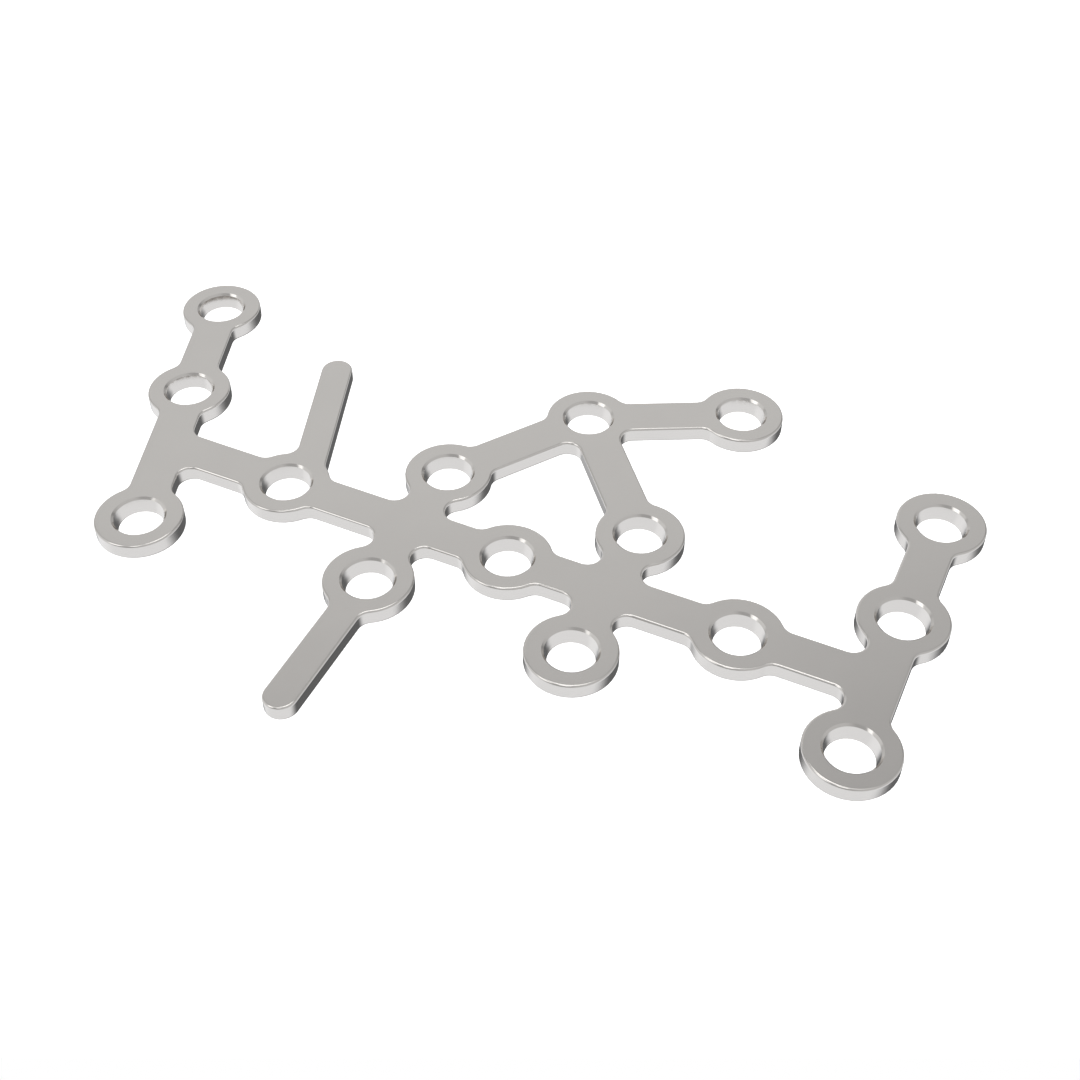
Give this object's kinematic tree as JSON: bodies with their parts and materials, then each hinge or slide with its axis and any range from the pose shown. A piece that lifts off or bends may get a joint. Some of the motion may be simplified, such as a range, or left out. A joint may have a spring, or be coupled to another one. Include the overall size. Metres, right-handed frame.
{
  "type": "bone plate",
  "caption": "Flat steel bone plate: a spine with cross bars, a slanted column, a fan and narrow tabs, with a conical screw hole in each round end.",
  "frame": {"origin": "on the underside, midway between the four holes of the two cross bars", "axes": "+X along the spine towards the straight column, +Y towards the fan, +Z out of the face that the screws enter"},
  "size_m": [0.0843, 0.0538, 0.0015],
  "materials": {
    "plate": "smooth polished surgical steel with a soft sheen"
  },
  "bodies": {
    "root": {"bone_plate": "plate"}
  },
  "joints": []
}
